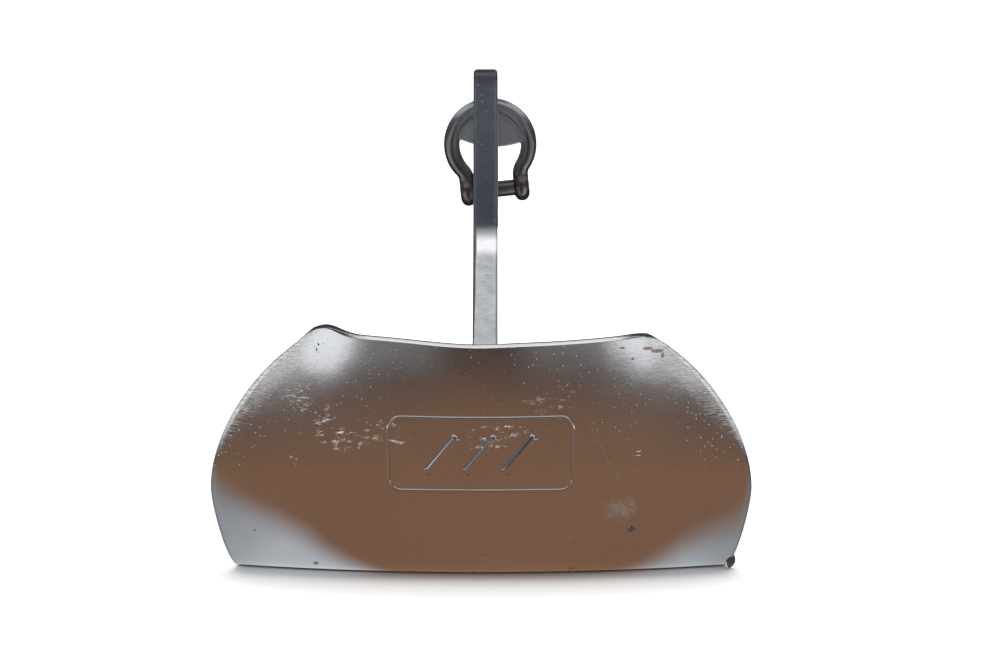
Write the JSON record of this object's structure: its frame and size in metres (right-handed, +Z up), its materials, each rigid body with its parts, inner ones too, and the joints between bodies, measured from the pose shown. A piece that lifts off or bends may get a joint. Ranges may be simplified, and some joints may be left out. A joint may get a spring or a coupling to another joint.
{
  "type": "scoop anchor",
  "caption": "Galvanised scoop-pattern plate anchor with an upturned heel, an edge-on plate shank and a bow shackle at the end of its arm.",
  "frame": {"origin": "on the floor under the belly and toe, midway between the heel edge and the end of the arm", "axes": "+Y from the heel towards the toe and the end of the arm, +X to the right as seen from behind the heel, +Z up"},
  "size_m": [0.2694, 0.409, 0.2522],
  "materials": {
    "zinc": "satin",
    "weld": "satin",
    "shackle_steel": "satin"
  },
  "bodies": {
    "anchor": {"fluke_plate": "zinc", "heel_relief": "zinc", "toe_point": "zinc", "toe_weld": "weld", "shank": "zinc", "shank_weld_left": "weld", "shank_weld_right": "weld"},
    "shackle": {"shackle_bow": "shackle_steel"},
    "pin": {"shackle_pin": "shackle_steel"}
  },
  "joints": [
    {"name": "shackle_swing", "type": "hinge", "parent": "anchor", "child": "shackle", "pos_m": [0.0016, 0.1809, 0.1766], "axis": [-0.9949, 0, -0.1011], "range_deg": [0, 217]},
    {"name": "pin_withdraw", "type": "slide", "parent": "shackle", "child": "pin", "axis": [0.9949, 0, 0.1011], "range_m": [0, 0.046]}
  ]
}
